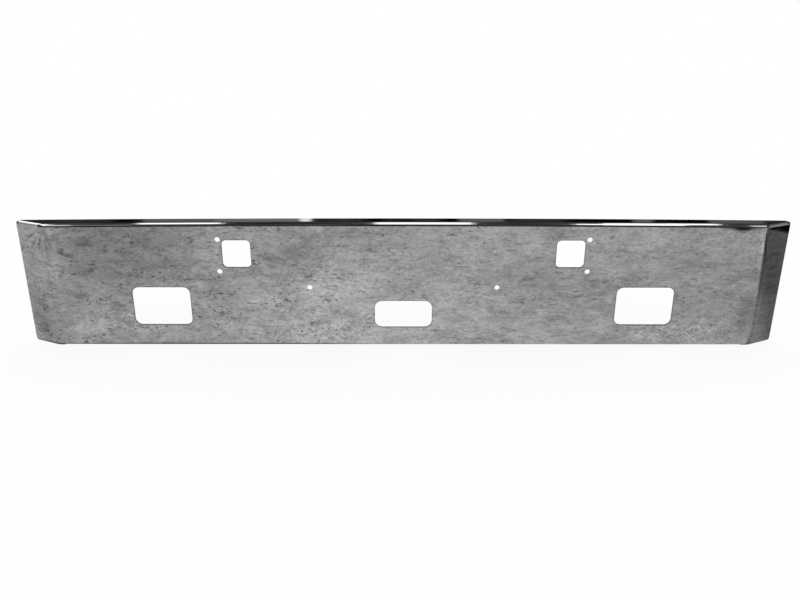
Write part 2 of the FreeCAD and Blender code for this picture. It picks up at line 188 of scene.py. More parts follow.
def addReturn(sheet):
    # lower return: the skin stops at the bend, slits relieve its ends, and it is spun back
    endX = cornerX - shell["returnSetback"]
    slitX = endX + shell["slitWidth"]
    bend = shell["returnRadius"]
    cuts = [((0, 0, bend), (0, 0, 1)), ((0, 0, shell["slitTop"]), (0, 0, 1))]
    for side in (-1, 1):
        cuts += [((side * endX, 0, 0), (1, 0, 0)), ((side * slitX, 0, 0), (1, 0, 0))]
    for place, across in cuts:
        selectParts(sheet, "faces", lambda c, n: abs(n.y) > 0.999 and abs(c.x) < cornerX)
        bpy.ops.mesh.bisect(plane_co=place, plane_no=across)
    selectParts(sheet, "faces", lambda c, n: (abs(c.x) < slitX and c.z < bend)
                or (endX < abs(c.x) < slitX and c.z < shell["slitTop"]))
    bpy.ops.mesh.delete(type="FACE")
    lowRim = lambda co: abs(co.z - bend) < 1e-6 and abs(co.x) < endX + 1e-5
    selectParts(sheet, "edges", lambda a, b: lowRim(a) and lowRim(b) and abs(a.x - b.x) > 1e-6)
    bpy.ops.mesh.spin(steps=6, angle=math.radians(-90), center=(0, front + bend, bend), axis=(1, 0, 0))
    drawn = (0, shell["returnDepth"] - bend, 0)
    bpy.ops.mesh.extrude_region_move(TRANSFORM_OT_translate={"value": drawn})
    backRim = front + shell["returnDepth"]
    selectParts(sheet, "verts", lambda co: abs(co.y - backRim) < 1e-5 and co.z < bend / 2
                and abs(abs(co.x) - endX) < 1e-5)
    bpy.ops.mesh.bevel(offset=shell["returnCorner"], segments=8, affect="VERTICES",
                       clamp_overlap=False)
    bpy.ops.object.mode_set(mode="OBJECT")


def closeSheet(sheet):
    # skin to sheet metal, then the straight back edge and the ends cut square to the wings
    selectParts(sheet, "verts", lambda co: True)
    bpy.ops.mesh.remove_doubles(threshold=1e-6)
    bpy.ops.mesh.normals_make_consistent(inside=False)
    bpy.ops.object.mode_set(mode="OBJECT")
    faceNormal = max(sheet.data.polygons, key=lambda face: face.area).normal
    print("face points", [round(n, 3) for n in faceNormal])
    applyModifier(sheet, "SOLIDIFY", thickness=shell["gauge"], offset=-1, use_even_offset=True,
                  use_quality_normals=True, material_offset=1)
    angle = shell["wingAngle"]
    trims = [((0, back, 0), (0, 1, 0))]
    for side in (-1, 1):
        wingEnd = (side * shell["halfWidth"], front + wingDrop, 0)
        trims.append((wingEnd, (side * math.cos(angle), math.sin(angle), 0)))
    for place, outward in trims:
        selectParts(sheet, "verts", lambda co: True)
        bpy.ops.mesh.bisect(plane_co=place, plane_no=outward, clear_outer=True, use_fill=True)
    bpy.ops.object.mode_set(mode="OBJECT")

    # the bottom corner of each wing's end is rounded, as on the cut blank
    outermost = shell["halfWidth"] - 2 * shell["gauge"]
    selectParts(sheet, "edges", lambda a, b: max(a.z, b.z) < 1e-5 and min(abs(a.x), abs(b.x)) > outermost
                and shell["gauge"] / 2 < (a - b).length < 2 * shell["gauge"])
    bpy.ops.mesh.bevel(offset=shell["wingCorner"], segments=6, profile=0.5, clamp_overlap=False)
    bpy.ops.object.mode_set(mode="OBJECT")


openings = {
    "lamp": {"at": (0.763, 0.1345), "size": (0.181, 0.127), "corner": 0.021, "both": True},
    "tow": {"at": (0.5165, 0.3090), "size": (0.0875, 0.0875), "corner": 0.0135, "both": True},
    "step": {"at": (0.0, 0.1075), "size": (0.181, 0.0895), "corner": 0.023, "both": False},
    "through": 0.030,
    "cornerSteps": 12,
}
boltHoles = {
    "diameter": 0.016,
    "places": [(0.573, 0.3545), (0.573, 0.2505), (0.294, 0.1975)],
    "sides": 48,
}


def squareCutter(name, opening):
    x, z = opening["at"]
    wide, high = opening["size"]
    pickNothing()
    bpy.ops.mesh.primitive_cube_add(
        size=1,
        location=(x, front, z),
        scale=(wide, openings["through"], high),
    )
    cutter = bpy.context.object
    cutter.name = name + "_cutter"
    bpy.ops.object.transform_apply(location=True, rotation=True, scale=True)
    selectParts(cutter, "edges", lambda a, b: abs(a.y - b.y) > openings["through"] / 2)
    bpy.ops.mesh.bevel(offset=opening["corner"], segments=openings["cornerSteps"], profile=0.5)
    bpy.ops.object.mode_set(mode="OBJECT")
    return cutter


def holeCutter(place):
    pickNothing()
    bpy.ops.mesh.primitive_cylinder_add(
        vertices=boltHoles["sides"],
        radius=boltHoles["diameter"] / 2,
        depth=openings["through"],
        location=(place[0], front, place[1]),
        rotation=(math.radians(90), 0, 0),
    )
    cutter = bpy.context.object
    cutter.name = "hole_cutter"
    bpy.ops.object.transform_apply(location=True, rotation=True, scale=True)
    return cutter


def otherSide(cutter):
    # the same cutter on the left: copied, then moved across, as every outline is its own mirror image
    workOn(cutter)
    middle = sum((v.co.x for v in cutter.data.vertices)) / len(cutter.data.vertices)
    bpy.ops.object.duplicate()
    copy = bpy.context.object
    bpy.ops.object.mode_set(mode="EDIT")
    bpy.ops.mesh.select_all(action="SELECT")
    bpy.ops.transform.translate(value=(-2 * middle, 0, 0))
    bpy.ops.object.mode_set(mode="OBJECT")
    return copy


def cutOpenings(sheet):
    cutters = []
    for name in ("lamp", "tow", "step"):
        cutter = squareCutter(name, openings[name])
        cutters.append(cutter)
        if openings[name]["both"]:
            cutters.append(otherSide(cutter))
    for place in boltHoles["places"]:
        cutter = holeCutter(place)
        cutters += [cutter, otherSide(cutter)]
    pickNothing()
    for cutter in cutters:
        cutter.select_set(True)
    bpy.context.view_layer.objects.active = cutters[0]
    bpy.ops.object.join()
    allCutters = bpy.context.object
    applyModifier(sheet, "BOOLEAN", operation="DIFFERENCE", solver="EXACT", object=allCutters)
    workOn(allCutters)
    bpy.ops.object.delete()


def finishEdges(sheet):
    # every cut edge is broken slightly, and the flat areas keep flat shading next to the bends
    selectParts(sheet, "verts", lambda co: True)
    bpy.ops.mesh.remove_doubles(threshold=2e-6)
    bpy.ops.object.mode_set(mode="OBJECT")
    applyModifier(sheet, "BEVEL", width=shell["edgeRound"], segments=2, limit_method="ANGLE",
                  angle_limit=math.radians(60), use_clamp_overlap=True, miter_outer="MITER_ARC")
    workOn(sheet)
    bpy.ops.object.shade_smooth_by_angle(angle=math.radians(50))
    applyModifier(sheet, "WEIGHTED_NORMAL", mode="FACE_AREA", weight=50, keep_sharp=True)


def paintEdges(sheet):
    # walls of the openings and all cut edges of the sheet take the third finish
    gauge = shell["gauge"]
    returnBack = front + shell["returnDepth"]
    for face in sheet.data.polygons:
        c, n = face.center, face.normal
        inFace = abs(c.x) < cornerX - 0.05 and 0.02 < c.z < 0.38 and c.y < front + gauge
        inOpening = inFace and abs(n.y) < 0.3
        atBack = n.y > 0.9 and (c.y > back - 1e-4 or (c.z < gauge and abs(c.y - returnBack) < 1e-4))
        atWingEnd = abs(n.x) > 0.8 and abs(c.x) > shell["halfWidth"] - gauge
        pastReturn = abs(c.x) > cornerX - shell["returnSetback"]
        underWing = n.z < -0.5 and c.z < shell["wingCorner"] and pastReturn
        if inOpening or atBack or atWingEnd or underWing:
            face.material_index = 2


chromeLook = {
    "clean": 0.56,              # the roll and the top flange
    "tip": 0.12,                # painted shade on their last few millimetres at each end
    "tipStart": 1.186,
    "tipEnd": 1.197,
    "hazeAndReflection": 0.303,              # the face and the wings, darker than the roll: partly a dull finish, partly a painted reflection of a darker floor
    "hazeContrast": 0.84,
    # noise in the haze: feature width and height, detail, roughness, distortion, share
    "grain": {
        "fine": (0.011, 0.0065, 2, 0.6, 0.8, 0.32),
        "smudge": (0.045, 0.020, 3, 0.55, 0.8, 0.40),
        "cloud": (0.28, 0.13, 2, 0.5, 0.3, 0.28),
    },
    "grainRange": (0.32, 0.68),  # of the blended noise, from the darkest haze to the lightest
    # small marks, as spots or as thin lines in the noise, gathered in clusters
    "smallMarks": {
        "specks": {"size": (0.013, 0.0075), "wander": 0.6, "spot": (0.58, 0.70), "strength": 0.50,
                   "cluster": (0.11, 0.065), "clusterRange": (0.44, 0.62), "outside": 0.15},
        "dashes": {"size": (0.028, 0.0050), "wander": 0.5, "spot": (0.60, 0.72), "strength": 0.52,
                   "cluster": (0.16, 0.055), "clusterRange": (0.42, 0.60), "outside": 0.15},
        "curls": {"size": (0.021, 0.0120), "wander": 1.6, "line": 0.030, "strength": 0.42,
                  "cluster": (0.09, 0.050), "clusterRange": (0.50, 0.64), "outside": 0.0},
        "glints": {"size": (0.015, 0.0085), "wander": 1.4, "line": 0.035, "strength": -0.08,
                   "cluster": (0.13, 0.075), "clusterRange": (0.48, 0.62), "outside": 0.0},
    },
    "busyRange": (-0.55, 0.45),  # x from which to which the dark marks thin out
    "busyLeft": 1.25,           # how strongly they show at each end
    "busyRight": 0.72,
    # painted shade along the outlines of the openings
    "rims": 0.45,
    # painted reflections: upright streaks near both bends
    "bendReflections": 0.20,
    "faceRoughness": 0.13,
    "rollRoughness": 0.06,
    "ripple": 0.25,
    "rippleDepth": 0.0004,
    "rollFade": (0.0016, 0.0036),  # above the start of the roll, from haze to clean chrome
    "darkestShare": 0.05,       # what the darkest mark leaves of the haze
    # broad painted reflections and shade on the face: x, z, half width, half height, turn in degrees,
    # change of tone
    "reflectionPatches": [
        (-0.90, 0.32, 0.36, 0.18, 0, -0.38),
        (-1.165, 0.11, 0.06, 0.16, 0, -0.26),
        (-1.120, 0.05, 0.09, 0.10, 0, -0.16),
        (-0.10, 0.08, 0.62, 0.26, 0, 0.34),
        (-0.33, 0.30, 0.16, 0.06, 0, -0.16),
        (-0.30, 0.03, 0.40, 0.07, 0, 0.12),
        (-0.95, 0.05, 0.18, 0.12, 0, 0.12),
        (1.00, 0.20, 0.34, 0.28, 0, -0.14),
        (1.088, 0.115, 0.045, 0.10, 10, -0.28),
        (1.142, 0.00, 0.044, 0.21, 0, 0.50),
        (-1.085, 0.28, 0.022, 0.15, 4, 0.14),
    ],
    # places rubbed with short scratches, laid out in the same way, with their strength at the end
    "rubbed": [
        (0.86, 0.050, 0.34, 0.085, 0, 1.0),
        (-0.27, 0.050, 0.34, 0.075, 0, 1.0),
        (-0.86, 0.090, 0.26, 0.110, 0, 0.8),
        (-0.30, 0.250, 0.20, 0.120, 0, 0.6),
    ],
    "scratchSize": (0.017, 0.0080),
    "lightScratch": (0.53, 0.64, 0.26),  # noise from, noise at full strength, strength
    "darkScratch": (0.47, 0.36, 0.30),
    # single smudges, placed in the same way, with a ruffled outline
    "marks": [
        (-0.989, 0.340, 0.045, 0.024, 0, -0.34),
        (-1.047, 0.309, 0.036, 0.010, 32, -0.44),
        (-1.058, 0.207, 0.016, 0.007, -35, -0.44),
        (-1.020, 0.172, 0.075, 0.016, 8, -0.34),
        (-0.957, 0.283, 0.012, 0.004, 0, -0.42),
        (-0.752, 0.221, 0.012, 0.008, -20, -0.46),
        (-0.680, 0.231, 0.026, 0.006, 14, -0.42),
        (-0.578, 0.113, 0.018, 0.005, 0, -0.36),
        (-0.429, 0.299, 0.045, 0.020, 10, -0.34),
        (-0.270, 0.387, 0.010, 0.004, -30, -0.40),
        (-0.120, 0.283, 0.030, 0.010, 0, -0.26),
        (0.030, 0.177, 0.020, 0.008, 25, -0.42),
        (-0.293, 0.073, 0.006, 0.007, 0, -0.50),
        (-0.346, 0.051, 0.004, 0.004, 0, -0.46),
        (-0.212, 0.114, 0.013, 0.007, 0, -0.40),
        (0.228, 0.206, 0.018, 0.004, 12, -0.40),
        (0.384, 0.225, 0.028, 0.004, 4, -0.40),
        (0.548, 0.172, 0.040, 0.0045, 7, -0.46),
        (0.141, 0.172, 0.012, 0.004, 0, -0.36),
        (0.642, 0.365, 0.014, 0.004, 0, -0.34),
        (0.755, 0.247, 0.013, 0.005, 0, -0.40),
        (0.884, 0.160, 0.014, 0.003, -22, -0.46),
        (0.884, 0.150, 0.014, 0.003, 22, -0.42),
        (0.985, 0.071, 0.028, 0.0045, 6, -0.44),
        (1.036, 0.136, 0.014, 0.006, 25, -0.36),
        (1.054, 0.232, 0.008, 0.009, 20, -0.40),
    ],
    "ruffleSize": 0.020,
    "ruffle": 0.034,
    # single lines and streaks: a light scratch near the bottom right, and painted reflections and shade,
    # most of them in the bends, under the roll and on the wings; the dark edge along the bottom is a
    # painted reflected shadow
    "linesAndReflections": [
        (0.922, 0.031, 0.050, 0.0036, 40, 0.62),
        (0.913, 0.026, 0.044, 0.0028, 40, 0.46),
        (0.760, 0.028, 0.120, 0.0260, 6, 0.12),
        (-1.150, 0.362, 0.040, 0.006, -38, -0.40),
        (-1.145, 0.336, 0.050, 0.006, -56, -0.36),
        (-1.160, 0.383, 0.032, 0.004, -20, -0.30),
        (-1.119, 0.347, 0.0055, 0.045, 16, -0.36),
        (-1.089, 0.342, 0.0045, 0.040, -18, -0.32),
        (1.035, 0.3915, 0.080, 0.0080, 0, -0.92),
        (1.036, 0.385, 0.034, 0.011, -3, -0.45),
        (1.1165, 0.338, 0.0050, 0.075, -7, -0.88),
        (1.104, 0.345, 0.0045, 0.065, -8, 0.26),
        (1.1310, 0.110, 0.0150, 0.180, 0, 0.42),
        (1.1120, 0.040, 0.0110, 0.140, 0, -0.24),
        (1.165, 0.300, 0.030, 0.006, 8, -0.46),
        (1.162, 0.257, 0.034, 0.007, -4, -0.46),
        (1.165, 0.190, 0.030, 0.007, -6, -0.30),
        (-0.86, 0.0010, 0.50, 0.0072, 0, -1.30),
        (-0.42, 0.0010, 0.56, 0.0072, 0, -1.50),
        (0.60, 0.000, 0.55, 0.0045, 0, 0.10),
    ],
}
backLook = {"light": 0.34, "dark": 0.24, "roughness": 0.48}
edgeLook = {"light": 0.22, "dark": 0.13, "roughness": 0.22}


def newMaterial(name):
    material = bpy.data.materials.new(name)
    material.use_nodes = True
    nodes = material.node_tree.nodes
    nodes.clear()
    return material, nodes, material.node_tree.links


def grey(value):
    return (value, value, value, 1.0)


def addNode(nodes, kind, **settings):
    node = nodes.new(kind)
    for name, setting in settings.items():
        setattr(node, name, setting)
    return node


def mathNode(nodes, links, operation, first, second=None, clamp=False):
    node = addNode(nodes, "ShaderNodeMath", operation=operation, use_clamp=clamp)
    for socket, value in zip(node.inputs, (first, second)):
        if value is None:
            continue
        if isinstance(value, (int, float)):
            socket.default_value = value
        else:
            links.new(value, socket)
    return node.outputs[0]


def stretchedNoise(nodes, links, place, across, up, detail, roughness=0.55, distortion=0.0):
    # noise with features about "across" wide and "up" high, in metres
    mapping = addNode(nodes, "ShaderNodeMapping")
    mapping.inputs["Scale"].default_value = (1 / across, 1 / across, 1 / up)
    links.new(place, mapping.inputs["Vector"])
    noise = addNode(nodes, "ShaderNodeTexNoise")
    noise.inputs["Scale"].default_value = 1.0
    noise.inputs["Detail"].default_value = detail
    noise.inputs["Roughness"].default_value = roughness
    noise.inputs["Distortion"].default_value = distortion
    links.new(mapping.outputs[0], noise.inputs["Vector"])
    return noise.outputs["Fac"]


def remap(nodes, links, value, low, high, newLow, newHigh, kind="LINEAR"):
    node = addNode(nodes, "ShaderNodeMapRange", clamp=True, interpolation_type=kind)
    node.inputs["From Min"].default_value = low
    node.inputs["From Max"].default_value = high
    node.inputs["To Min"].default_value = newLow
    node.inputs["To Max"].default_value = newHigh
    links.new(value, node.inputs["Value"])
    return node.outputs["Result"]


def oval(nodes, links, place, x, z, wide, high, turn, change):
    # "change" at the middle of a soft turned oval on the face, fading to nothing at its rim
    mapping = addNode(nodes, "ShaderNodeMapping", vector_type="TEXTURE")
    mapping.inputs["Location"].default_value = (x, 0, z)
    mapping.inputs["Rotation"].default_value = (0, math.radians(turn), 0)
    mapping.inputs["Scale"].default_value = (wide, 1000, high)
    links.new(place, mapping.inputs["Vector"])
    length = addNode(nodes, "ShaderNodeVectorMath", operation="LENGTH")
    links.new(mapping.outputs[0], length.inputs[0])
    return remap(nodes, links, length.outputs["Value"], 0.1, 1.0, change, 0.0, "SMOOTHSTEP")


def ruffled(nodes, links, place, size, amount):
    # "place" pushed about by noise, so that what is laid out in it loses its smooth outline
    noise = addNode(nodes, "ShaderNodeTexNoise")
    noise.inputs["Scale"].default_value = 1 / size
    noise.inputs["Detail"].default_value = 2
    links.new(place, noise.inputs["Vector"])
    centred = addNode(nodes, "ShaderNodeVectorMath", operation="SUBTRACT")
    links.new(noise.outputs["Color"], centred.inputs[0])
    centred.inputs[1].default_value = (0.5, 0.5, 0.5)
    push = addNode(nodes, "ShaderNodeVectorMath", operation="SCALE")
    links.new(centred.outputs[0], push.inputs[0])
    push.inputs["Scale"].default_value = amount
    moved = addNode(nodes, "ShaderNodeVectorMath", operation="ADD")
    links.new(place, moved.inputs[0])
    links.new(push.outputs[0], moved.inputs[1])
    return moved.outputs[0]


def rimShade(nodes, links, side, level, opening):
    # painted shade along an opening's outline: how much it darkens the face
    gaps = []
    for socket, middle, size in zip((side, level), opening["at"], opening["size"]):
        offset = mathNode(nodes, links, "SUBTRACT", socket, middle)
        away = mathNode(nodes, links, "ABSOLUTE", offset)
        past = mathNode(nodes, links, "SUBTRACT", away, size / 2 - opening["corner"])
        gaps.append(mathNode(nodes, links, "MAXIMUM", past, 0.0))
    squares = [mathNode(nodes, links, "MULTIPLY", gap, gap) for gap in gaps]
    reach = mathNode(nodes, links, "SQRT", mathNode(nodes, links, "ADD", squares[0], squares[1]))
    fromEdge = mathNode(nodes, links, "SUBTRACT", reach, opening["corner"])
    return remap(nodes, links, fromEdge, 0.0010, 0.0042, -chromeLook["rims"], 0.0, "SMOOTHSTEP")


def contour(nodes, links, value, width):
    # thin wandering lines: 1 where the noise crosses its middle, 0 "width" away from it
    offset = mathNode(nodes, links, "SUBTRACT", value, 0.5)
    away = mathNode(nodes, links, "ABSOLUTE", offset)
    return remap(nodes, links, away, 0.0, width, 1.0, 0.0, "SMOOTHSTEP")


def darkened(nodes, links, tone, mark, cluster, strength):
    # "tone" taken down by "strength" where a mark lies inside a cluster
    both = mathNode(nodes, links, "MULTIPLY", mark, cluster)
    loss = mathNode(nodes, links, "MULTIPLY", both, strength)
    keep = mathNode(nodes, links, "SUBTRACT", 1.0, loss)
    return mathNode(nodes, links, "MULTIPLY", tone, keep)


def combined(nodes, links, operation, values):
    total = values[0]
    for value in values[1:]:
        total = mathNode(nodes, links, operation, total, value)
    return total


def greyColour(nodes, links, tone):
    colour = addNode(nodes, "ShaderNodeCombineColor")
    for socket in colour.inputs[:3]:
        links.new(tone, socket)
    return colour.outputs[0]


def metalShader(nodes, links, colour, roughness, normal=None):
    shader = addNode(nodes, "ShaderNodeBsdfPrincipled")
    shader.inputs["Metallic"].default_value = 1.0
    links.new(colour, shader.inputs["Base Color"])
    links.new(roughness, shader.inputs["Roughness"])
    if normal is not None:
        links.new(normal, shader.inputs["Normal"])
    output = addNode(nodes, "ShaderNodeOutputMaterial")
    links.new(shader.outputs[0], output.inputs["Surface"])


def smallMarks(nodes, links, place, sideways, hazeAndReflection):
    # specks, dashes and curls darken the haze, more on the left than on the right, and glints
    # lighten it the same all over
    busy = remap(nodes, links, sideways, *chromeLook["busyRange"],
                 chromeLook["busyLeft"], chromeLook["busyRight"])
    for look in chromeLook["smallMarks"].values():
        noise = stretchedNoise(nodes, links, place, *look["size"], 1, 0.5, look["wander"])
        if "spot" in look:
            mark = remap(nodes, links, noise, *look["spot"], 0.0, 1.0, "SMOOTHSTEP")
        else:
            mark = contour(nodes, links, noise, look["line"])
        gather = stretchedNoise(nodes, links, place, *look["cluster"], 2)
        cluster = remap(nodes, links, gather, *look["clusterRange"], look["outside"], 1.0)
        if look["strength"] > 0:
            cluster = mathNode(nodes, links, "MULTIPLY", cluster, busy)
        hazeAndReflection = darkened(nodes, links, hazeAndReflection, mark, cluster, look["strength"])
    return hazeAndReflection


def rubbedMarks(nodes, links, place, hazeAndReflection):
    # short light and dark scratches where the face has been rubbed
    spots = [oval(nodes, links, place, *spot) for spot in chromeLook["rubbed"]]
    rubbed = combined(nodes, links, "MAXIMUM", spots)
    scratch = stretchedNoise(nodes, links, place, *chromeLook["scratchSize"], 1, 0.5, 1.6)
    start, full, strength = chromeLook["lightScratch"]
    light = remap(nodes, links, scratch, start, full, 0.0, 1.0, "SMOOTHSTEP")
    hazeAndReflection = darkened(nodes, links, hazeAndReflection, light, rubbed, -strength)
    start, full, strength = chromeLook["darkScratch"]
    dark = remap(nodes, links, scratch, full, start, 1.0, 0.0, "SMOOTHSTEP")
    return darkened(nodes, links, hazeAndReflection, dark, rubbed, strength)


def reflectionsShadeAndSmudges(nodes, links, place, side, level, fromBend):
    # painted reflections and shade in patches, lines, along the rims of the openings and as upright
    # streaks in both bends, with smudges and a scratch
    unsettled = ruffled(nodes, links, place, chromeLook["ruffleSize"], chromeLook["ruffle"])
    settled = chromeLook["reflectionPatches"] + chromeLook["linesAndReflections"]
    parts = [oval(nodes, links, place, *patch) for patch in settled]
    parts += [oval(nodes, links, unsettled, *mark) for mark in chromeLook["marks"]]
    parts += [rimShade(nodes, links, side, level, openings[name]) for name in ("lamp", "tow", "step")]
    # painted reflections: upright light and dark streaks near both bends, in the upper part
    streak = stretchedNoise(nodes, links, place, 0.011, 0.22, 2, 0.5, 0.6)
    strength = chromeLook["bendReflections"]
    bendReflectionTone = remap(nodes, links, streak, 0.3, 0.7, -strength, strength)
    away = mathNode(nodes, links, "ABSOLUTE", fromBend)
    nearBend = remap(nodes, links, away, 0.010, 0.045, 1.0, 0.0, "SMOOTHSTEP")
    upper = remap(nodes, links, level, 0.10, 0.30, 0.1, 1.0)
    parts.append(combined(nodes, links, "MULTIPLY", [nearBend, upper, bendReflectionTone]))
    return combined(nodes, links, "ADD", parts)


def chromeMaterial():
    material, nodes, links = newMaterial("polished_chrome")
    place = addNode(nodes, "ShaderNodeTexCoord").outputs["Object"]
    split = addNode(nodes, "ShaderNodeSeparateXYZ")
    links.new(place, split.inputs[0])

    # how far a point is above the start of the roll, which follows the crown
    ratio = mathNode(nodes, links, "DIVIDE", split.outputs["X"], shell["halfWidth"])
    square = mathNode(nodes, links, "MULTIPLY", ratio, ratio)
    drop = mathNode(nodes, links, "MULTIPLY", square, shell["topCrown"])
    level = mathNode(nodes, links, "ADD", split.outputs["Z"], drop)
    rollStart = shell["faceHeight"] + shell["topCrown"] - shell["rollRadius"]
    fadeFrom, fadeTo = chromeLook["rollFade"]
    onFace = remap(nodes, links, level, rollStart + fadeFrom, rollStart + fadeTo, 1.0, 0.0, "SMOOTHSTEP")

    # mottled face tone, partly a dull finish and partly a painted reflection of a mottled floor: fine
    # marks, smudges and clouds, all drawn out along the bumper
    noises = {}
    steps = []
    for name, (*shape, share) in chromeLook["grain"].items():
        noises[name] = stretchedNoise(nodes, links, place, *shape)
        steps.append(mathNode(nodes, links, "MULTIPLY", noises[name], share))
    blend = combined(nodes, links, "ADD", steps)
    half = 0.18 * chromeLook["hazeContrast"]
    hazeAndReflection = remap(nodes, links, blend, *chromeLook["grainRange"],
                 chromeLook["hazeAndReflection"] - half, chromeLook["hazeAndReflection"] + half)
    hazeAndReflection = smallMarks(nodes, links, place, split.outputs["X"], hazeAndReflection)
    hazeAndReflection = rubbedMarks(nodes, links, place, hazeAndReflection)

    side = mathNode(nodes, links, "ABSOLUTE", split.outputs["X"])
    fromBend = mathNode(nodes, links, "SUBTRACT", side, cornerX)
    change = reflectionsShadeAndSmudges(nodes, links, place, side, split.outputs["Z"], fromBend)
    summed = mathNode(nodes, links, "ADD", change, 1.0)
    factor = mathNode(nodes, links, "MAXIMUM", summed, chromeLook["darkestShare"])
    hazeAndReflection = mathNode(nodes, links, "MULTIPLY", hazeAndReflection, factor)

    colour = addNode(nodes, "ShaderNodeMix", data_type="RGBA")
    links.new(onFace, colour.inputs["Factor"])
    # painted shade: the roll and the flange darken at their very ends
    clean = remap(nodes, links, side, chromeLook["tipStart"], chromeLook["tipEnd"],
                  chromeLook["clean"], chromeLook["tip"], "SMOOTHSTEP")
    links.new(greyColour(nodes, links, clean), colour.inputs["A"])
    links.new(greyColour(nodes, links, hazeAndReflection), colour.inputs["B"])

    # the haze thins out toward the top of the wings, where the mirror is clearer
    smudged = remap(nodes, links, noises["smudge"], 0.3, 0.7, chromeLook["faceRoughness"] + 0.05,
                    chromeLook["faceRoughness"] - 0.04)
    onWing = remap(nodes, links, fromBend, 0.005, 0.015, 0.0, 1.0)
    high = remap(nodes, links, split.outputs["Z"], 0.30, 0.35, 0.0, 0.6)
    clearer = mathNode(nodes, links, "MULTIPLY", onWing, high)
    share = mathNode(nodes, links, "SUBTRACT", 1.0, clearer)
    hazeRoughness = mathNode(nodes, links, "MULTIPLY", smudged, share)
    roughness = addNode(nodes, "ShaderNodeMix", data_type="FLOAT")
    links.new(onFace, roughness.inputs["Factor"])
    roughness.inputs["A"].default_value = chromeLook["rollRoughness"]
    links.new(hazeRoughness, roughness.inputs["B"])

    ripple = stretchedNoise(nodes, links, place, 0.035, 0.030, 2)
    bump = addNode(nodes, "ShaderNodeBump")
    bump.inputs["Strength"].default_value = chromeLook["ripple"]
    bump.inputs["Distance"].default_value = chromeLook["rippleDepth"]
    links.new(ripple, bump.inputs["Height"])
    metalShader(nodes, links, colour.outputs["Result"], roughness.outputs["Result"], bump.outputs[0])
    return material


def backMaterial():
    # unpolished plating on the hidden side
    material, nodes, links = newMaterial("dull_plating")
    place = addNode(nodes, "ShaderNodeTexCoord").outputs["Object"]
    cloud = stretchedNoise(nodes, links, place, 0.12, 0.05, 4, 0.6, 0.5)
    tone = remap(nodes, links, cloud, 0.3, 0.7, backLook["dark"], backLook["light"])
    grain = stretchedNoise(nodes, links, place, 0.004, 0.0015, 2)
    middle = backLook["roughness"]
    roughness = remap(nodes, links, grain, 0.3, 0.7, middle - 0.06, middle + 0.08)
    metalShader(nodes, links, greyColour(nodes, links, tone), roughness)
    return material


def edgeMaterial():
    # plated edges of the sheet, a little dragged by the cutting
    material, nodes, links = newMaterial("plated_edge")
    place = addNode(nodes, "ShaderNodeTexCoord").outputs["Object"]
    drag = stretchedNoise(nodes, links, place, 0.006, 0.006, 2)
    tone = remap(nodes, links, drag, 0.3, 0.7, edgeLook["dark"], edgeLook["light"])
    middle = edgeLook["roughness"]
    roughness = remap(nodes, links, drag, 0.3, 0.7, middle + 0.06, middle - 0.06)
    metalShader(nodes, links, greyColour(nodes, links, tone), roughness)
    return material


sheet = makeSheet()
for material in (chromeMaterial(), backMaterial(), edgeMaterial()):
    sheet.data.materials.append(material)
print("skin", len(sheet.data.vertices), "vertices", len(sheet.data.polygons), "faces")
addReturn(sheet)
closeSheet(sheet)
print("sheet", len(sheet.data.vertices), "vertices", len(sheet.data.polygons), "faces")
cutOpenings(sheet)
paintEdges(sheet)
finishEdges(sheet)
print("finished sheet", len(sheet.data.vertices), "vertices", len(sheet.data.polygons), "faces")


studio = {
    "floorShare": 0.16,         # how much of the floor's white comes from the light on it
    "worldLight": 0.85,
    "domeRadius": 2.4,          # a half tube round the bumper's top, seen only in its gloss
    "domeLevel": 0.4,
    "domeHalfLength": 5.0,
    "domeDark": 0.015,
    "domeLight": 0.10,
    "backDark": 0.002,          # the same two tones behind the bumper
    "backLight": 0.045,
    # light panels on the tube: from x, to x, from and to degrees up from the front, strength
    "panels": [
        (-1.60, -1.09, 60, 106, 2.0),
        (-0.16, 0.43, 44, 108, 2.0),
        (1.05, 1.40, 46, 76, 2.0),
        (1.22, 1.72, 38, 100, 2.0),
        (1.60, 1.93, 60, 106, 2.0),
        (2.12, 3.20, 25, 64, 1.0),
        (-1.56, -1.10, 140, 178, 0.14),
        (-1.14, -0.55, 140, 178, 0.21),
        (-0.615, -0.545, 150, 178, 1.1),
        (0.35, 0.62, 140, 178, 0.15),
        (1.40, 1.52, 140, 178, 0.14),
        (1.86, 2.20, 125, 178, 0.12),
        (-2.30, -2.00, 32, 57, 1.1),
        (-2.02, -1.62, 34, 55, 0.30),
        (-2.60, -2.14, 44, 86, 2.0),
        (-3.05, -2.60, 66, 112, 2.0),
        (-5.50, -3.00, 86, 122, 2.0),
    ],
    "panelSoft": 0.025,
    "panelSoftDegrees": 4.0,
    "leftWall": 0.40,
    "rightWall": 0.32,
    # shade on the floor for the right wing to mirror: tone, azimuth of its edge from the corner,
    # how far that edge fades near the bumper and far from it
    "shadeCorner": (1.112, -0.03),
    "sideShade": 0.24,
    "nearShade": 0.36,
    "azimuthNear": 67,
    "azimuthFar": 51,
    "shadeFadeNear": 16,
    "shadeFadeFar": 4,
    "sideBlack": 0.006,
    "sideCard": [(1.112, -0.03), (2.50, -2.35), (6.0, -2.35), (1.20, 0.9)],
    "farCard": [(2.48, -1.10), (4.2, -2.44), (5.0, 1.0), (2.46, 0.6)],
}
cameraView = {
    "lens": 36.645,
    "at": (-0.01413, front - 2.38685, 1.11996),
    "down": math.radians(22.0),
    "turn": math.radians(-0.08),
    "roll": math.radians(0.08),
}


def seenDirectly(nodes, links):
    # 1 for camera, glossy and transmission rays, which all see the white background
    path = addNode(nodes, "ShaderNodeLightPath")
    two = mathNode(nodes, links, "MAXIMUM", path.outputs["Is Camera Ray"], path.outputs["Is Glossy Ray"])
    return mathNode(nodes, links, "MAXIMUM", two, path.outputs["Is Transmission Ray"])


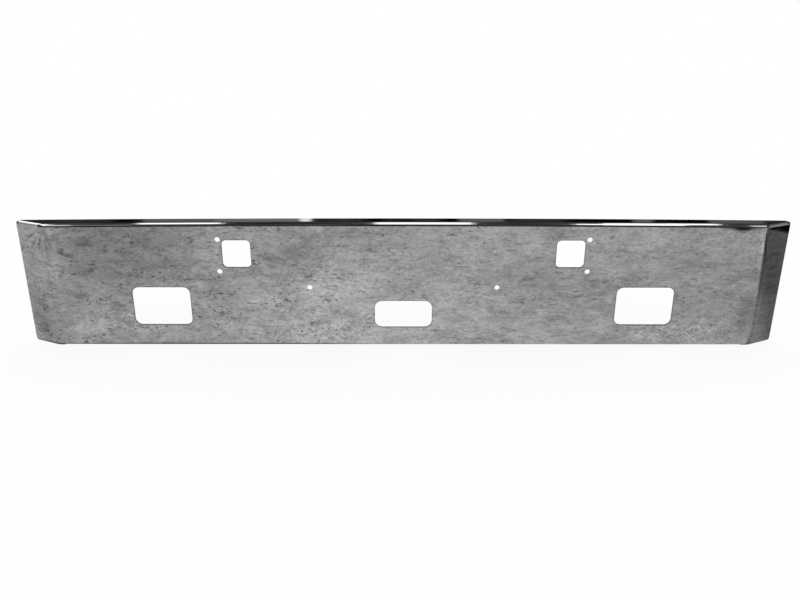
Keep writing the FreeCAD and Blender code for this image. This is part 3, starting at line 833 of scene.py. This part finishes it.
def makeWorld():
    world = bpy.data.worlds.new("white_studio")
    bpy.context.scene.world = world
    world.use_nodes = True
    nodes = world.node_tree.nodes
    links = world.node_tree.links
    nodes.clear()
    strength = remap(nodes, links, seenDirectly(nodes, links), 0.0, 1.0, studio["worldLight"], 1.0)
    background = addNode(nodes, "ShaderNodeBackground")
    background.inputs["Color"].default_value = grey(1.0)
    links.new(strength, background.inputs["Strength"])
    output = addNode(nodes, "ShaderNodeOutputWorld")
    links.new(background.outputs[0], output.inputs["Surface"])


def floorMaterial():
    # a pale floor that reads white, and still takes the bumper's shadow
    material, nodes, links = newMaterial("pale_floor")
    shaded = addNode(nodes, "ShaderNodeBsdfDiffuse")
    shaded.inputs["Color"].default_value = grey(studio["floorShare"])
    glow = addNode(nodes, "ShaderNodeEmission")
    glow.inputs["Color"].default_value = grey(1.0)
    topUp = 1.0 - studio["floorShare"] * studio["worldLight"]
    strength = remap(nodes, links, seenDirectly(nodes, links), 0.0, 1.0, 0.0, topUp)
    links.new(strength, glow.inputs["Strength"])
    both = addNode(nodes, "ShaderNodeAddShader")
    links.new(shaded.outputs[0], both.inputs[0])
    links.new(glow.outputs[0], both.inputs[1])
    output = addNode(nodes, "ShaderNodeOutputMaterial")
    links.new(both.outputs[0], output.inputs["Surface"])
    return material


def glowMaterial(name, strength):
    # "strength" is a number, or a function that makes the socket it comes from
    material, nodes, links = newMaterial(name)
    glow = addNode(nodes, "ShaderNodeEmission")
    glow.inputs["Color"].default_value = grey(1.0)
    if callable(strength):
        links.new(strength(nodes, links), glow.inputs["Strength"])
    else:
        glow.inputs["Strength"].default_value = strength
    output = addNode(nodes, "ShaderNodeOutputMaterial")
    links.new(glow.outputs[0], output.inputs["Surface"])
    return material


def domeStrength(nodes, links):
    # dark studio with soft light panels, laid out by x and by the angle round the tube
    place = addNode(nodes, "ShaderNodeTexCoord").outputs["Object"]
    split = addNode(nodes, "ShaderNodeSeparateXYZ")
    links.new(place, split.inputs[0])
    up = mathNode(nodes, links, "SUBTRACT", split.outputs["Z"], studio["domeLevel"])
    ahead = mathNode(nodes, links, "MULTIPLY", split.outputs["Y"], -1.0)
    turn = mathNode(nodes, links, "ARCTAN2", up, ahead)
    angle = mathNode(nodes, links, "DEGREES", turn)
    cloud = stretchedNoise(nodes, links, place, 0.45, 0.6, 2)
    ahead = remap(nodes, links, cloud, 0.35, 0.65, studio["domeDark"], studio["domeLight"],
                  "SMOOTHSTEP")
    behind = remap(nodes, links, cloud, 0.40, 0.60, studio["backDark"], studio["backLight"],
                   "SMOOTHSTEP")
    isAhead = remap(nodes, links, angle, 115, 140, 1.0, 0.0, "SMOOTHSTEP")
    isBehind = mathNode(nodes, links, "SUBTRACT", 1.0, isAhead)
    aheadPart = mathNode(nodes, links, "MULTIPLY", ahead, isAhead)
    behindPart = mathNode(nodes, links, "MULTIPLY", behind, isBehind)
    total = mathNode(nodes, links, "ADD", aheadPart, behindPart)
    soft, softAngle = studio["panelSoft"], studio["panelSoftDegrees"]
    for left, right, low, high, strength in studio["panels"]:
        sides = [
            remap(nodes, links, split.outputs["X"], left - soft, left + soft, 0.0, 1.0, "SMOOTHSTEP"),
            remap(nodes, links, split.outputs["X"], right - soft, right + soft, 1.0, 0.0, "SMOOTHSTEP"),
            remap(nodes, links, angle, low - softAngle, low + softAngle, 0.0, 1.0, "SMOOTHSTEP"),
            remap(nodes, links, angle, high - softAngle, high + softAngle, 1.0, 0.0, "SMOOTHSTEP"),
        ]
        panel = combined(nodes, links, "MULTIPLY", sides + [strength])
        total = mathNode(nodes, links, "MAXIMUM", total, panel)
    return total


def shadeStrength(nodes, links):
    # floor white on the bumper's side of the edge, shade beyond it; the edge fades more close by
    place = addNode(nodes, "ShaderNodeTexCoord").outputs["Object"]
    split = addNode(nodes, "ShaderNodeSeparateXYZ")
    links.new(place, split.inputs[0])
    right = mathNode(nodes, links, "SUBTRACT", split.outputs["X"], studio["shadeCorner"][0])
    ahead = mathNode(nodes, links, "SUBTRACT", studio["shadeCorner"][1], split.outputs["Y"])
    turn = mathNode(nodes, links, "ARCTAN2", right, ahead)
    azimuth = mathNode(nodes, links, "DEGREES", turn)
    rightSquare = mathNode(nodes, links, "MULTIPLY", right, right)
    aheadSquare = mathNode(nodes, links, "MULTIPLY", ahead, ahead)
    distance = mathNode(nodes, links, "SQRT", mathNode(nodes, links, "ADD", rightSquare, aheadSquare))
    fade = remap(nodes, links, distance, 0.35, 1.0, studio["shadeFadeNear"], studio["shadeFadeFar"])
    edge = remap(nodes, links, distance, 0.45, 1.0, studio["azimuthNear"], studio["azimuthFar"])
    beyond = mathNode(nodes, links, "SUBTRACT", azimuth, edge)
    ratio = mathNode(nodes, links, "DIVIDE", beyond, fade)
    share = remap(nodes, links, ratio, -1.0, 1.0, 0.0, 1.0, "SMOOTHSTEP")
    shade = remap(nodes, links, distance, 0.1, 0.6, studio["nearShade"], studio["sideShade"])
    loss = mathNode(nodes, links, "MULTIPLY", share, mathNode(nodes, links, "SUBTRACT", 1.0, shade))
    return mathNode(nodes, links, "SUBTRACT", 1.0, loss)


def onlyInGloss(card, material):
    # a lighting card is seen by what reflects it and by nothing else
    card.data.materials.append(material)
    card.visible_camera = False
    card.visible_diffuse = False
    card.visible_shadow = False
    card.visible_transmission = False


def addDome():
    pickNothing()
    bpy.ops.mesh.primitive_cylinder_add(
        vertices=128,
        radius=studio["domeRadius"],
        depth=2 * studio["domeHalfLength"],
        end_fill_type="NOTHING",
        location=(0, 0, studio["domeLevel"]),
        rotation=(0, math.radians(90), 0),
    )
    dome = bpy.context.object
    dome.name = "light_tube"
    bpy.ops.object.transform_apply(location=True, rotation=True, scale=True)
    selectParts(dome, "faces", lambda c, n: c.z < 0.05)
    bpy.ops.mesh.delete(type="FACE")
    bpy.ops.object.mode_set(mode="OBJECT")
    bpy.ops.object.shade_smooth()
    onlyInGloss(dome, glowMaterial("dome_panels", domeStrength))


def addFloorCard(name, corners, level, material):
    # a flat four sided card just above the floor
    pickNothing()
    bpy.ops.mesh.primitive_plane_add(size=1)
    card = bpy.context.object
    card.name = name
    order = [(-0.5, -0.5), (0.5, -0.5), (0.5, 0.5), (-0.5, 0.5)]
    for start, place in zip(order, corners):
        selectParts(card, "verts", lambda co: co.z == 0
                    and abs(co.x - start[0]) + abs(co.y - start[1]) < 1e-4)
        bpy.ops.transform.translate(value=(place[0] - start[0], place[1] - start[1], level))
    bpy.ops.object.mode_set(mode="OBJECT")
    onlyInGloss(card, material)


def addEndWall(side):
    pickNothing()
    reach = studio["domeRadius"]
    bpy.ops.mesh.primitive_plane_add(
        size=1,
        location=(side * studio["domeHalfLength"], 0, studio["domeLevel"] + reach / 2),
        rotation=(0, math.radians(90), 0),
    )
    wall = bpy.context.object
    wall.name = "right_end_card" if side > 0 else "left_end_card"
    wall.scale = (reach, 2 * reach, 1)
    bpy.ops.object.transform_apply(location=True, rotation=True, scale=True)
    onlyInGloss(wall, glowMaterial(wall.name, studio["rightWall"] if side > 0 else studio["leftWall"]))


def makeStudio():
    makeWorld()
    pickNothing()
    bpy.ops.mesh.primitive_plane_add(size=80, location=(0, 0, -0.0004))
    floor = bpy.context.object
    floor.name = "floor"
    bpy.ops.object.transform_apply(location=True, rotation=True, scale=True)
    floor.data.materials.append(floorMaterial())
    addDome()
    for side in (-1, 1):
        addEndWall(side)
    # the shade that the right wing mirrors starts at its corner and opens out to the right
    shade = glowMaterial("side_shade", shadeStrength)
    black = glowMaterial("side_black", studio["sideBlack"])
    addFloorCard("side_card", studio["sideCard"], 0.001, shade)
    addFloorCard("far_card", studio["farCard"], 0.003, black)


def makeCamera():
    pickNothing()
    bpy.ops.object.camera_add(location=cameraView["at"])
    camera = bpy.context.object
    camera.name = "photo_camera"
    turn = (Matrix.Rotation(cameraView["turn"], 3, "Z")
            @ Matrix.Rotation(math.radians(90) - cameraView["down"], 3, "X")
            @ Matrix.Rotation(cameraView["roll"], 3, "Z"))
    camera.rotation_euler = turn.to_euler()
    camera.data.lens = cameraView["lens"]
    camera.data.sensor_width = 36
    camera.data.clip_end = 100
    bpy.context.scene.camera = camera


makeStudio()
makeCamera()
bpy.context.scene.view_settings.view_transform = "Standard"
print("studio and camera ready")

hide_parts("bumper_shell")
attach(sheet, "root")
